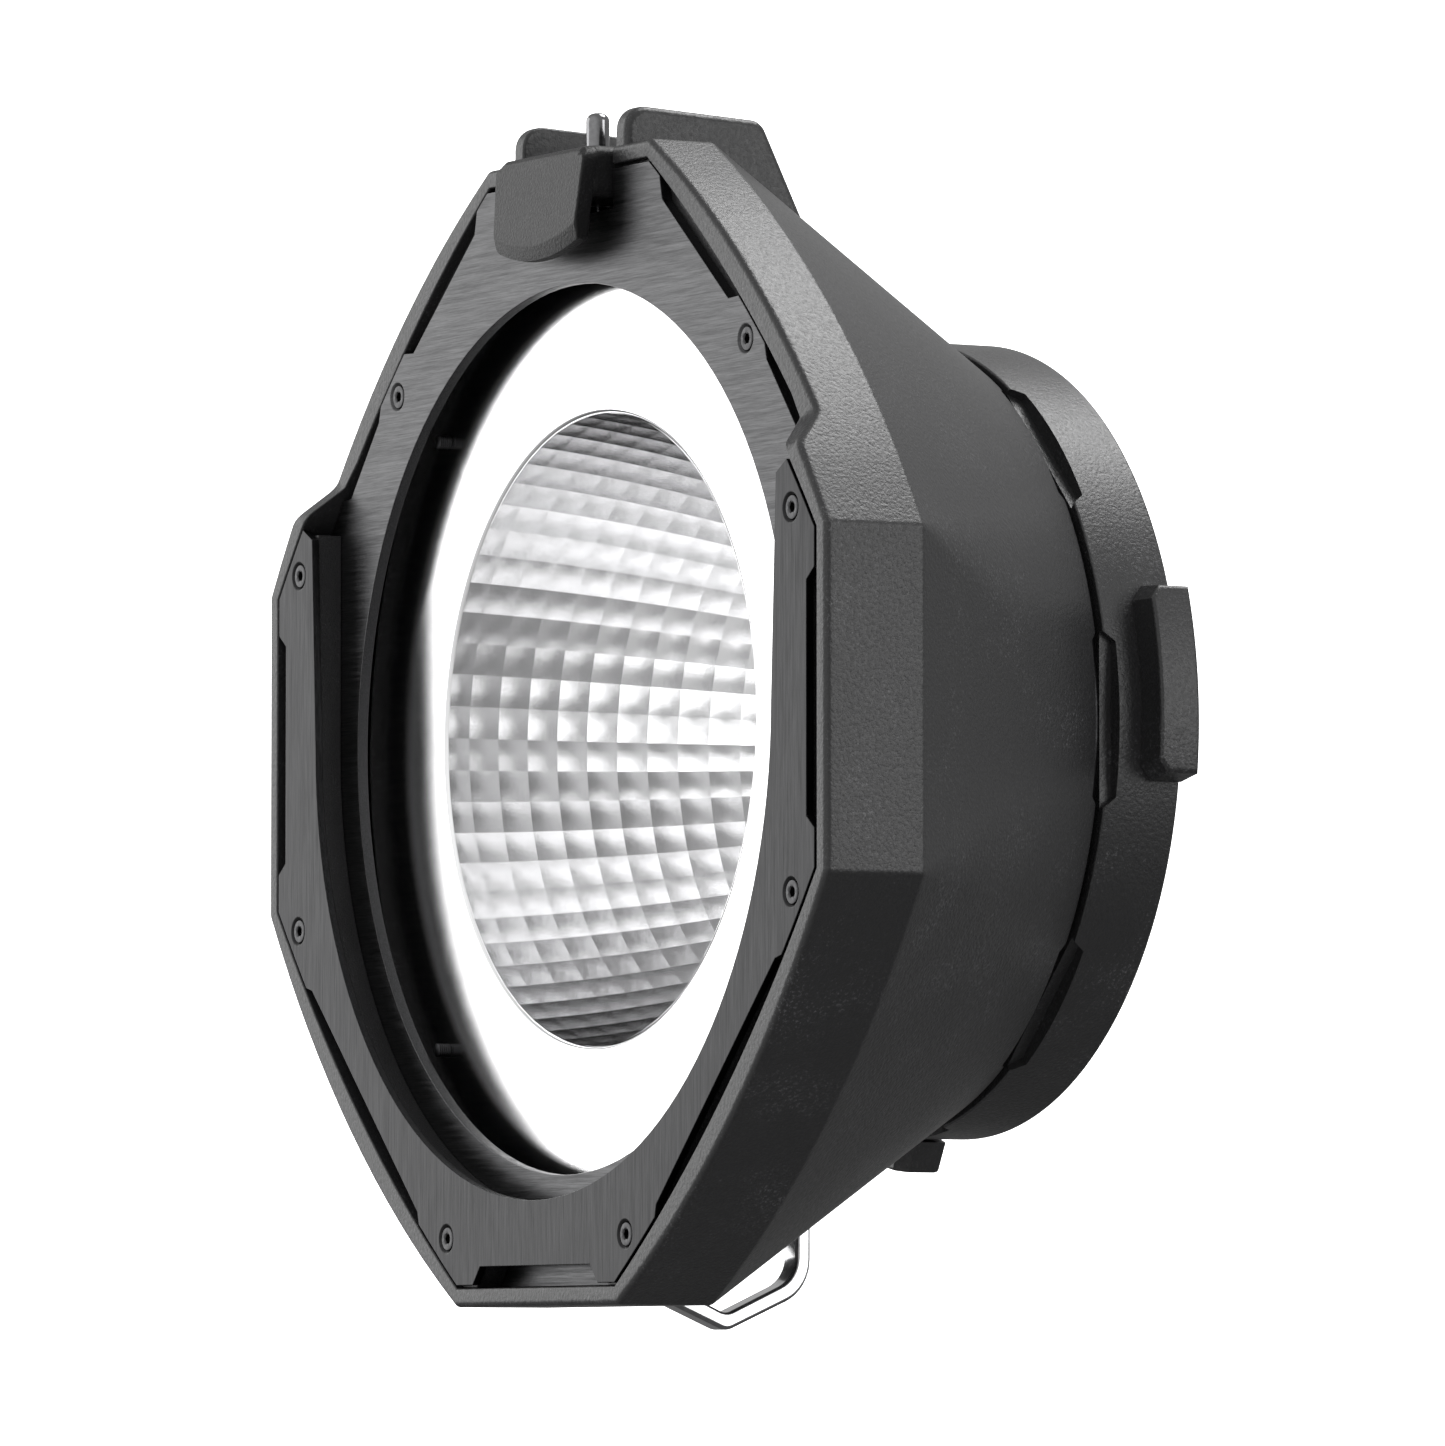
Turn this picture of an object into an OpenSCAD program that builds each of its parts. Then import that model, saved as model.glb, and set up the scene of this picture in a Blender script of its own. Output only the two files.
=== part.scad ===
// Octagonal light reflector with a drop-in accessory slot, a sprung top latch,
// a bayonet lock ring at the back and a safety eyelet underneath.
// The light shines towards -Y. The origin is on the optical axis, at the seat
// that meets the lamp head. Depths named "d" are counted from the front plate.

/* [Housing] */
// Half the width of the front band across its flats
band_half = 122.4; // [120:0.1:125]
// Half the length of each flat side of the band
flat_half = 35.5; // [34:0.1:37]
// Half the width of the band across its bowed diagonals
diag_half = 118.9; // [117:0.1:120]
// Depth of the straight front band
band_depth = 23; // [21:0.5:25]
// Depth at which the tapered shell ends
shell_end = 88.2; // [88:0.1:88.4]
// Outer radius of the shell's rear end
shell_end_r = 85.4; // [85.2:0.1:85.8]
// Wall thickness of the shell
wall = 3.2; // [2.6:0.1:3.4]

/* [Accessory slot] */
// Half the width of the pocket that holds the plates
pocket_half = 118.4; // [118:0.1:118.6]
// Thickness of the U-shaped front plate
front_t = 1.8; // [1.7:0.1:2]
// Clear depth of the accessory slot
slot_t = 5.8; // [5.5:0.1:6]
// Thickness of the back plate
back_t = 2.5; // [2:0.1:2.6]
// Radius of the front plate's opening
front_open_r = 100; // [98:0.5:101]
// Radius of the round hole in the back plate
back_open_r = 94.6; // [93:0.2:96]
// Half the width of the slot between the spacer's arms
slot_half = 102.5; // [102:0.5:104]

/* [Reflector] */
// Depth of the polished flange's mirror face
mirror_d = 15; // [14.6:0.1:15.4]
// Radius of the reflector's throat
throat_r = 67.3; // [66:0.1:68]
// Depth at which the bowl ends
bowl_end = 104; // [100:0.5:105]

/* [Lock ring] */
// Outer radius of the lock ring
ring_r = 86; // [85.8:0.1:86.4]
// Depth of the lock ring's front edge
ring_front = 89.6; // [89.5:0.1:89.8]
// Depth of the lock ring's rear edge
ring_rear = 107.9; // [107:0.1:109]
// Radius over the finger grips
grip_r = 94; // [92:0.5:96]
// Angle of the first finger grip
grip_angle = 5.3; // [0:0.1:10]

/* [Latch] */
// Half the width of the gap between the guard fins
fin_gap_half = 20.2; // [20:0.1:20.6]
// Thickness of each guard fin
fin_t = 5; // [4.6:0.1:6]
// Depth of the latch hinge
hinge_d = 41; // [40:0.5:42]
// Height of the latch hinge
hinge_z = 116.5; // [116.4:0.1:116.6]
// Depth of the plunger pin
plunger_d = 15.2; // [14.8:0.1:15.6]

/* [Safety eyelet] */
// Thickness of the eyelet plate
eye_t = 6; // [5:0.1:6]

/* [Hidden] */
$fn = 96;
seat_d = 95.3;                       // depth of the rear seat, where Y is 0
band_bevel = 1.4;                    // bevel along the front's flats
bow_bevel = 1.2;                     // bevel along the front's bowed diagonals
rim_d = front_t + slot_t;            // front of the upper rim and of the back plate
back_rear = rim_d + back_t;          // rear face of the back plate
pocket_flat = 34.6;                  // half the length of the pocket's flats
pocket_diag = 113;                   // half width of the pocket's diagonals
fit = 0.2;                           // clearance round the plates
ledge_r = 104.6;                     // bore of the ledge behind the back plate
ledge_t = 4;
shelf_d = 18;                        // front of the shelf behind the reflector
shelf_t = 3;
shelf_r = 84;
web_d = 80;                          // web that carries the rear flange
web_t = 4;
neck_bore = 70;                      // bore of the rear opening
neck_r = 78.4;                       // outside of the neck that the ring turns on
neck_rear = 93.3;
ring_bore = 81;
bayonet_d = 103.5;
bayonet_t = 2;
bayonet_r = 84.5;
running = 0.05;                      // radial clearance of a running fit
m3 = 1.5;
m3_head = 3.2;
m2 = 1;
floor_z = 108;                       // floor of the latch channel
channel_end = 53;
plate_gap = 0.7;                     // gap between the front plate and the rim
skin_gap = 0.06;                     // keeps the taper's start just inside the band
block_half = 19;                     // half width of the latch arm
block_low = 110.5;
block_top = 122.6;
knuckle_r = 6.1;
hinge_pin_r = 2;
pin_r = 2.5;                         // plunger pin
pin_low = 107.1;
pin_top = 131.7;
clip_z = 111.4;
clip_t = 0.8;
spring_pocket_r = 4.6;
spring_roof = 119;
window_angles = [0:45:315];
front_screws = [[108.2, 39.2], [-108.2, 39.2], [108.2, -39.2], [-108.2, -39.2],
    [39.2, -107.7], [-39.2, -107.7]];
back_screws = [[76.5, 76.7], [-76.5, 76.7]];
reflector_screw_at = 66.3;           // both coordinates of the flange screws
eye_screws = [[47, -97.5], [59, -94]];
flange_screw_r = 74.5;
retainer_screw_r = 75.5;
paddle_tilt = 5.5;                   // the paddle's foot leans forward

// ---- helpers -------------------------------------------------------------

// Y of a depth counted from the front plate
function yf(d) = d - seat_d;

// Radius of a circle through a chord's ends (half length c) with sagitta s
function arc_r(c, s) = (c * c + s * s) / (2 * s);

// Inner radius of the bowl at depth d
function bowl_r(d) = throat_r - 0.1 * (d - mirror_d) - 0.0015 * pow(d - mirror_d, 2);

// Points of an outline whose corners [x, y, r] are rounded to radius r
function unit(v) = v / norm(v);
function corner(a, b, c, r) =
    let (u = unit(a - b), v = unit(c - b), half = acos(u * v) / 2,
        centre = b + unit(u + v) * r / sin(half),
        p = b + u * r / tan(half) - centre, q = b + v * r / tan(half) - centre,
        turn = atan2(p.x * q.y - p.y * q.x, p * q))
    [for (k = [0:6]) let (t = turn * k / 6)
        centre + [p.x * cos(t) - p.y * sin(t), p.x * sin(t) + p.y * cos(t)]];
function xy(p) = [p.x, p.y];
function rounded(c) = [for (i = [0:len(c) - 1])
    let (n = len(c), a = xy(c[(i + n - 1) % n]), b = xy(c[i]), d = xy(c[(i + 1) % n]))
    for (p = c[i].z > 0 ? corner(a, b, d, c[i].z) : [b]) p];

// Slab between two depths, drawn in X and Z
module slab(d0, d1) {
    translate([0, yf(d1), 0]) rotate([90, 0, 0]) linear_extrude(height = d1 - d0) children();
}

// Disc or cone round the axis between two depths
module disc(d0, d1, r0, r1) {
    translate([0, yf(d0), 0]) rotate([-90, 0, 0]) cylinder(h = d1 - d0, r1 = r0, r2 = r1);
}

// Ring round the axis
module ring(d0, d1, r_out, r_in) {
    difference() {
        disc(d0, d1, r_out, r_out);
        disc(d0 - 1, d1 + 1, r_in, r_in);
    }
}

// Side outline drawn as depth and height, extruded from x0 to x1
module side(x0, x1) {
    translate([x0, -seat_d, 0]) rotate([90, 0, 90]) linear_extrude(height = x1 - x0) children();
}

// Box from its corners, with depths in the middle
module block(x0, x1, d0, d1, z0, z1) {
    translate([x0, yf(d0), z0]) cube([x1 - x0, d1 - d0, z1 - z0]);
}

// Octagon with bowed diagonals: flats at half width w, half flat length f, diagonal half width g
module bowed_octagon(w, f, g) {
    chord = (w + f) / sqrt(2);
    r = arc_r((w - f) / sqrt(2), g - chord);
    intersection() {
        square(2 * w, center = true);
        for_all_diagonals(g - r) circle(r, $fn = 240);
    }
}
module for_all_diagonals(n) {
    intersection_for(a = [45:90:315]) rotate(a) translate([n, 0]) children();
}

module pocket2d(gap = 0) {
    bowed_octagon(pocket_half - gap, pocket_flat, pocket_diag - gap);
}

// Cylinder along Y at x, z between two depths
module rod(p, d0, d1, r) {
    translate([p.x, 0, p.y]) disc(d0, d1, r, r);
}

// Countersunk socket screw pointing back from depth d
module flat_screw(p, d, length, r, head) {
    translate([p.x, 0, p.y]) difference() {
        union() {
            disc(d + 0.1, d + head - r, head - 0.15, r - 0.05);
            disc(d + 0.5, d + length, r, r);
        }
        translate([0, yf(d), 0]) rotate([-90, 0, 0]) cylinder(h = 1.1, r = r * 0.78, $fn = 6);
    }
}

// Countersunk hole to suit
module flat_screw_hole(p, d, r, head) {
    translate([p.x, 0, p.y]) {
        disc(d - 0.1, d + head - r, head + 0.1, r);
        disc(d - 1, d + 30, r + 0.1, r + 0.1);
    }
}

// Open coil round a vertical axis, from z = 0 up
module coil(r, wire, pitch, turns) {
    steps = 14;
    sides = 8;
    n = steps * turns;
    points = [for (i = [0:n]) for (j = [0:sides - 1])
        let (a = 360 * i / steps, b = 360 * j / sides, q = r + wire * cos(b))
        [q * cos(a), q * sin(a), wire + pitch * i / steps + wire * sin(b)]];
    walls = [for (i = [0:n - 1]) for (j = [0:sides - 1])
        let (k = (j + 1) % sides)
        [i * sides + j, (i + 1) * sides + j, (i + 1) * sides + k, i * sides + k]];
    first = [for (j = [0:sides - 1]) j];
    last = [for (j = [0:sides - 1]) n * sides + sides - 1 - j];
    polyhedron(points, concat([first, last], walls), convexity = 10);
}

// Windows cut into the shell's and the ring's facing edges, from a deep to an open edge
module window_cut(d_deep, d_open, r_in) {
    tip = ring_r * sin(11);
    mouth = ring_r * sin(12.8);
    for (a = window_angles) rotate([0, a, 0]) difference() {
        translate([70, -seat_d, 0]) rotate([90, 0, 90]) linear_extrude(height = 22)
            polygon([[d_deep, -tip], [d_open, -mouth], [d_open, mouth], [d_deep, tip]]);
        disc(60, 110, r_in, r_in);
    }
}

// ---- housing -------------------------------------------------------------

module band() {
    chord = (band_half + flat_half) / sqrt(2);
    r = arc_r((band_half - flat_half) / sqrt(2), diag_half - chord);
    intersection() {
        for_all_corners(diag_half - r) union() {
            disc(0, bow_bevel, r - bow_bevel, r);
            disc(bow_bevel, band_depth, r, r);
        }
        difference() {
            slab(0, band_depth) square(2 * band_half, center = true);
            for (a = [0:90:270]) rotate([0, a, 0])
                side(-130, 130) polygon([[-1, band_half - band_bevel - 1],
                    [-1, band_half + 1], [band_bevel + 1, band_half + 1]]);
        }
    }
}
module for_all_corners(n) {
    intersection_for(a = [45:90:315]) rotate([0, a, 0]) translate([n, 0, 0]) children();
}

// Tapered body, drawn a little inside its outline by the gap
module taper(gap) {
    hull() {
        slab(band_depth - 0.5, band_depth)
            bowed_octagon(band_half - gap, flat_half, diag_half - gap);
        slab(shell_end - 0.01, shell_end) circle(shell_end_r - gap + skin_gap);
    }
}

module fin() {
    side(fin_gap_half - 1, fin_gap_half + fin_t)
        polygon(rounded([[8.2, 100, 0], [8.2, 130.9, 5], [41.4, 129.1, 4], [51.5, 108.6, 0],
            [56, 96, 0]]));
}

module outer_solid() {
    band();
    taper(skin_gap);
    fin();
    mirror([1, 0, 0]) fin();
}

module cavity() {
    slab(-1, back_rear) pocket2d();
    disc(back_rear - 1, shelf_d, ledge_r, ledge_r);
    slab(back_rear + ledge_t, shelf_d)
        bowed_octagon(band_half - wall, flat_half - 1, diag_half - wall);
    disc(shelf_d - 1, shelf_d + shelf_t + 1, shelf_r, shelf_r);
    hull() {
        slab(shelf_d + shelf_t, band_depth)
            bowed_octagon(band_half - wall, flat_half - 1, diag_half - wall);
        slab(web_d - 0.01, web_d) circle(86.4);
    }
    disc(web_d - 1, web_d + web_t + 1, neck_bore + 0.2, neck_bore + 0.2);
    disc(web_d + web_t, shell_end + 1, 82.4, 82.4);
}

// Solid parts inside the shell, trimmed to its outside
module inner_solids() {
    intersection() {
        union() {
            block(-fin_gap_half - wall, fin_gap_half + wall, back_rear + 1, channel_end + 3,
                floor_z - wall, 125);
            block(-9, 9, 40, 65, -125, -88);
            for (p = front_screws) rod(p, back_rear + 1, shelf_d + 1, 4.4);
            for (p = back_screws) rod(p, back_rear + 1, shelf_d + 1, 3.5);
        }
        union() {
            slab(back_rear + 1, band_depth)
                bowed_octagon(band_half - wall / 2, flat_half, diag_half - wall / 2);
            taper(wall / 2);
        }
    }
}

module upper_rim_cut() {
    side(-130, 130) polygon([[-1, 51], [0, 52], [rim_d, 59], [rim_d, 130], [-1, 130]]);
}

module housing_shell() {
    color([0.07, 0.07, 0.075]) difference() {
        union() {
            difference() {
                outer_solid();
                cavity();
            }
            inner_solids();
        }
        upper_rim_cut();
        block(-fin_gap_half, fin_gap_half, -1, channel_end, floor_z, 140);
        block(-slot_half, slot_half, front_t, rim_d, 45, 60);
        translate([0, yf(plunger_d), pin_low - 0.1]) cylinder(h = 8, r = pin_r + 0.6);
        translate([-30, yf(hinge_d), hinge_z]) rotate([0, 90, 0])
            cylinder(h = 53.5, r = hinge_pin_r + 0.02);
        window_cut(86.2, shell_end + 0.7, 79);
        for (p = front_screws) rod(p, back_rear - 1, 17, m3 + 0.02);
        for (p = back_screws) rod(p, back_rear - 1, 16, m3 + 0.02);
        for (a = [45:90:315]) rotate([0, a, 0])
            rod([reflector_screw_at * sqrt(2), 0], shelf_d - 1, shelf_d + shelf_t + 1, m3 + 0.1);
        for (a = [0:60:300]) rotate([0, a, 0])
            rod([flange_screw_r, 0], web_d - 1, web_d + web_t + 1, m3 + 0.02);
        block(-eye_t / 2 - 0.1, eye_t / 2 + 0.1, 24, 67, -130, -87);
        for (p = eye_screws) translate([-8.5, yf(p.x), p.y]) rotate([0, 90, 0])
            cylinder(h = 20, r = m3 + 0.02);
    }
}

// ---- plates --------------------------------------------------------------

// The same shape on both sides of the vertical centre line
module both_sides() {
    children();
    mirror([1, 0]) children();
}

// Openings along the outer edge of the front plate, which the spacer keeps clear too.
module plate_cutouts() {
    both_sides() {
        polygon([[121, 29], [114.5, 24], [114.5, -24], [121, -29]]);
        polygon([[120, -48], [101.7, -52.5], [52.5, -101.7], [48, -120], [120, -120]]);
    }
    polygon([[-30, -121], [-24.1, -113.8], [24.1, -113.8], [30, -121]]);
}

module front_plate() {
    inner = [102, 46.8];
    tip = [107, 49.6];
    slope = (tip.y - inner.y) / (tip.x - inner.x);
    far = [130, tip.y + slope * (130 - tip.x)];
    color([0.2, 0.2, 0.21]) difference() {
        slab(0, front_t) difference() {
            pocket2d(plate_gap);
            circle(front_open_r);
            polygon([[-front_open_r, 0], [front_open_r, 0], inner, far, [130, 130],
                [-130, 130], [-far.x, far.y], [-inner.x, inner.y]]);
            plate_cutouts();
        }
        for (p = front_screws) flat_screw_hole(p, 0, m3, m3_head);
    }
}

module slot_spacer() {
    color([0.1, 0.1, 0.11]) difference() {
        slab(front_t, rim_d) difference() {
            pocket2d(fit);
            circle(slot_half);
            translate([-slot_half, 0]) square([2 * slot_half, 130]);
            translate([-130, 48]) square([260, 80]);
            offset(delta = 0.8) plate_cutouts();
        }
        for (p = front_screws) rod(p, 0, 10, m3 + 0.1);
    }
}

module back_plate() {
    color([0.2, 0.2, 0.21]) difference() {
        slab(rim_d, back_rear) difference() {
            pocket2d(fit);
            circle(back_open_r);
            translate([-fin_gap_half, 109]) square([2 * fin_gap_half, 20]);
            translate([-130, 117.5]) square([260, 10]);
            both_sides() {
                polygon([[38.5, 122], [41.3, 109], [69.2, 85.7], [90, 86.6]]);
                polygon([[82, 84], [85.3, 71.5], [98, 56], [120, 54], [120, 84]]);
            }
        }
        for (p = back_screws) flat_screw_hole(p, rim_d, m3, m3_head);
        for (p = front_screws) rod(p, 0, 12, m3 + 0.1);
    }
}

module front_plate_screws() {
    color([0.12, 0.12, 0.13])
        for (p = front_screws) flat_screw(p, 0, 16, m3, m3_head);
}

module back_plate_screws() {
    color([0.12, 0.12, 0.13])
        for (p = back_screws) flat_screw(p, rim_d, 8, m3, m3_head);
}

// ---- reflector -----------------------------------------------------------

module reflector_flange() {
    color([0.92, 0.92, 0.93]) difference() {
        ring(mirror_d, mirror_d + 1.5, 104, throat_r);
        for (a = [45:90:315]) rotate([0, a, 0])
            rod([reflector_screw_at * sqrt(2), 0], 10, 20, m3 + 0.02);
    }
}

module reflector_bowl() {
    skin = 1.5;
    lip = mirror_d + 1.5;
    steps = 14;
    inner = [for (k = [0:steps]) let (d = lip + (bowl_end - lip) * k / steps) [bowl_r(d), d]];
    outer = [for (k = [steps:-1:0]) let (d = lip + (bowl_end - lip) * k / steps)
        [bowl_r(d) + skin, max(d, shelf_d)]];
    color([0.9, 0.9, 0.91]) difference() {
        translate([0, -seat_d, 0]) rotate([-90, 0, 0])
            rotate_extrude() polygon(concat(inner, outer, [[100, shelf_d], [100, lip]]));
        for (a = [45:90:315]) rotate([0, a, 0])
            rod([reflector_screw_at * sqrt(2), 0], 10, 20, m3 + 0.1);
    }
}

module reflector_screws() {
    head_d = shelf_d + shelf_t;
    color([0.5, 0.5, 0.52])
        for (a = [45:90:315]) rotate([0, a, 0]) {
            rod([reflector_screw_at * sqrt(2), 0], mirror_d - 3, head_d + 0.5, m3);
            rod([reflector_screw_at * sqrt(2), 0], head_d, head_d + 2.4, 2.8);
        }
}

// ---- safety eyelet -------------------------------------------------------

module safety_eyelet() {
    outer = [[66, -90, 0], [66, -118.6, 10], [45.3, -127.6, 4], [24.6, -118.8, 0],
        [24.6, -112, 0], [40, -90, 0]];
    hole = [[62.4, -99.6, 0], [62.4, -116.1, 7], [45.2, -123.8, 3.4], [36, -119.6, 0],
        [32.5, -116.6, 0]];
    color([0.8, 0.8, 0.82]) difference() {
        side(-eye_t / 2, eye_t / 2) difference() {
            polygon(rounded(outer));
            polygon(rounded(hole));
        }
        for (p = eye_screws) translate([-10, yf(p.x), p.y]) rotate([0, 90, 0])
            cylinder(h = 20, r = m3 + 0.1);
    }
}

module eyelet_screws() {
    color([0.5, 0.5, 0.52])
        for (p = eye_screws) translate([-8, yf(p.x), p.y]) rotate([0, 90, 0]) {
            cylinder(h = 17.5, r = m3);
            translate([0, 0, 17]) cylinder(h = 2.4, r = 2.8);
        }
}

// ---- rear bearing --------------------------------------------------------

module rear_flange() {
    plate_d = web_d + web_t;
    color([0.25, 0.25, 0.26]) difference() {
        union() {
            ring(plate_d, 88, 82.3, neck_bore);
            ring(plate_d, neck_rear, neck_r, neck_bore);
        }
        for (a = [0:60:300]) rotate([0, a, 0]) {
            rod([flange_screw_r, 0], plate_d - 1, neck_rear + 1, m3 + 0.1);
            rod([flange_screw_r, 0], 90.1, neck_rear + 1, 3);
        }
        for (a = [30:60:330]) rotate([0, a, 0])
            rod([retainer_screw_r, 0], 86, neck_rear + 1, m3 + 0.02);
    }
}

module rear_flange_screws() {
    color([0.5, 0.5, 0.52])
        for (a = [0:60:300]) rotate([0, a, 0]) {
            rod([flange_screw_r, 0], web_d + 0.5, 90.5, m3);
            rod([flange_screw_r, 0], 90.1, 92.6, 2.8);
        }
}

module wave_washer() {
    color([0.6, 0.6, 0.62]) ring(88, ring_front, 82, neck_r + 0.6);
}

module ring_retainer() {
    color([0.3, 0.3, 0.31]) difference() {
        union() {
            ring(neck_rear, seat_d, ring_bore - 0.1, neck_bore);
            ring(neck_rear, seat_d + 1.2, neck_bore + 2, neck_bore);
        }
        for (a = [30:60:330]) rotate([0, a, 0]) mirror_about_seat()
            flat_screw_hole([retainer_screw_r, 0], 0, m3, m3_head);
    }
}

// Turns a screw drawn at depth 0 so that its head lies flush in the seat
module mirror_about_seat() {
    mirror([0, 1, 0]) translate([0, -yf(0), 0]) children();
}

module retainer_screws() {
    color([0.5, 0.5, 0.52])
        for (a = [30:60:330]) rotate([0, a, 0]) mirror_about_seat()
            flat_screw([retainer_screw_r, 0], 0, 8, m3, m3_head);
}

// ---- latch ---------------------------------------------------------------

module latch_arm() {
    color([0.06, 0.06, 0.065]) difference() {
        union() {
            translate([0, yf(0), 111]) rotate([-paddle_tilt, 0, 0]) translate([0, -yf(0), -111])
                slab(0, 3.7) intersection() {
                    polygon(rounded([[-19.7, 122.8, 3], [19.7, 122.8, 3], [17, 96, 0],
                        [-17, 96, 0]]));
                    translate([0, 150.5]) circle(51);
                }
            block(-block_half, block_half, 2, hinge_d, block_low, block_top);
            translate([-block_half, yf(hinge_d), hinge_z]) rotate([0, 90, 0])
                cylinder(h = 2 * block_half, r = knuckle_r);
        }
        translate([-30, yf(hinge_d), hinge_z]) rotate([0, 90, 0])
            cylinder(h = 60, r = hinge_pin_r + running);
        block(-6.5, 6.5, 33, 50, 105, 130);
        translate([0, yf(plunger_d), 100]) cylinder(h = 30, r = pin_r + running);
        translate([0, yf(plunger_d), 100]) cylinder(h = spring_roof - 100, r = spring_pocket_r);
    }
}

module latch_hinge_pin() {
    color([0.7, 0.7, 0.72]) translate([-fin_gap_half - fin_t, yf(hinge_d), hinge_z])
        rotate([0, 90, 0]) cylinder(h = 48.4, r = hinge_pin_r);
}

module latch_spring() {
    wire = 0.7;
    color([0.6, 0.6, 0.62]) {
        translate([-5.6, yf(hinge_d), hinge_z]) rotate([0, 90, 0]) coil(3.6, wire, 1.6, 6);
    }
}

module plunger_pin() {
    color([0.85, 0.85, 0.86]) translate([0, yf(plunger_d), 0]) difference() {
        union() {
            translate([0, 0, pin_low]) cylinder(h = 1, r1 = pin_r - 0.7, r2 = pin_r);
            translate([0, 0, pin_low + 1]) cylinder(h = pin_top - 2.5 - pin_low, r = pin_r);
            translate([0, 0, pin_top - 1.5]) cylinder(h = 1.5, r1 = pin_r, r2 = pin_r - 1.2);
        }
        translate([0, 0, clip_z]) difference() {
            cylinder(h = clip_t, r = 4);
            translate([0, 0, -1]) cylinder(h = clip_t + 2, r = 1.9);
        }
    }
}

module plunger_clip() {
    color([0.5, 0.5, 0.52]) translate([0, yf(plunger_d), clip_z]) difference() {
        cylinder(h = clip_t, r = 4.3);
        translate([0, 0, -1]) cylinder(h = 3, r = 1.9);
        translate([-1.7, 0, -1]) cube([3.4, 6, 3]);
    }
}

module plunger_spring() {
    color([0.6, 0.6, 0.62]) translate([0, yf(plunger_d), clip_z + clip_t])
        coil(3.55, 0.4, (spring_roof - clip_z - clip_t - 0.8) / 3, 3);
}

// ---- lock ring -----------------------------------------------------------

module grip() {
    half = 20;
    intersection() {
        ring(97.7, 107.4, grip_r, ring_r - 1);
        translate([80, -seat_d, 0]) rotate([90, 0, 90]) linear_extrude(height = 20)
            polygon([[100, -half], [97.7, 3 - half], [97.7, half - 3], [100, half],
                [107.4, half], [107.4, -half]]);
        slab(95, 110) polygon([[80, -half - 0.8], [95, 1 - half], [95, half - 1], [80, half + 0.8]]);
    }
}

module lock_ring() {
    color([0.07, 0.07, 0.075]) difference() {
        union() {
            disc(ring_front, ring_rear, ring_r, ring_r);
            for (a = [0, 115.8, 237.9]) rotate([0, a - grip_angle, 0]) grip();
        }
        disc(80, 110, neck_r + running, neck_r + running);
        disc(93, 110, ring_bore, ring_bore);
        disc(bayonet_d, 110, bayonet_r + 0.1, bayonet_r + 0.1);
        window_cut(92.4, ring_front - 0.7, 82.4);
        for (a = [15:60:315]) rotate([0, a, 0]) rod([82.8, 0], 99, bayonet_d + 1, m2 * 0.8);
    }
}

module bayonet_ring() {
    tab_half = 32;
    color([0.75, 0.75, 0.77]) difference() {
        ring(bayonet_d, bayonet_d + bayonet_t, bayonet_r, 72);
        for (a = [0:120:240]) rotate([0, a, 0]) slab(100, 110) intersection() {
            circle(78.5);
            polygon([[0, 0], [120, -120 * tan(90 - tab_half - 28)],
                [120, 120 * tan(90 - tab_half - 28)]]);
        }
        for (a = [15:60:315]) rotate([0, a, 0]) rod([82.8, 0], 100, 110, m2 * 0.9);
    }
}

module bayonet_screws() {
    top = bayonet_d + bayonet_t;
    color([0.5, 0.5, 0.52])
        for (a = [15:60:315]) rotate([0, a, 0]) {
            rod([82.8, 0], 99.5, top + 0.3, m2 * 0.8 - 0.02);
            rod([82.8, 0], top, top + 1.2, 1.6);
        }
}

housing_shell();
front_plate();
slot_spacer();
back_plate();
front_plate_screws();
back_plate_screws();
reflector_flange();
reflector_bowl();
reflector_screws();
safety_eyelet();
eyelet_screws();
rear_flange();
rear_flange_screws();
wave_washer();
ring_retainer();
retainer_screws();
latch_hinge_pin();
latch_spring();
latch_arm();
plunger_spring();
plunger_pin();
plunger_clip();
lock_ring();
bayonet_ring();
bayonet_screws();
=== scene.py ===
"""Octagonal light reflector with an accessory slot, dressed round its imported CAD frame."""
import math

import bmesh
import bpy
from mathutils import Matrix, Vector


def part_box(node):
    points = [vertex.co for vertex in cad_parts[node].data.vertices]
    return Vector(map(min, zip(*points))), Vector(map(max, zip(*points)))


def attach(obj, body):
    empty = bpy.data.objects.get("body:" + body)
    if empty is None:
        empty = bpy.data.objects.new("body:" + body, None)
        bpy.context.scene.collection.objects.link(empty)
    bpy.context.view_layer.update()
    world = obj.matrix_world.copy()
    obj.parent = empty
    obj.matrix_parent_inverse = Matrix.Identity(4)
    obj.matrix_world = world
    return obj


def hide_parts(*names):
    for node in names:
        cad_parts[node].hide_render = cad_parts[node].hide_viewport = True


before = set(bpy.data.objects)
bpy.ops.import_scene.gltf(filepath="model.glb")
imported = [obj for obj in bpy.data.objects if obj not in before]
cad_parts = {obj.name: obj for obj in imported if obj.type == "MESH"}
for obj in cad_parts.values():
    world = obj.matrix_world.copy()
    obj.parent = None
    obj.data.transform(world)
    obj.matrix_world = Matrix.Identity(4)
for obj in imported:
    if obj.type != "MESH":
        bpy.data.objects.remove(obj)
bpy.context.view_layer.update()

# ---- driving sizes, in millimetres; depths are counted back from the front plate ----

MM = 0.001
FRONT_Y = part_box("front_plate")[0].y

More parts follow.
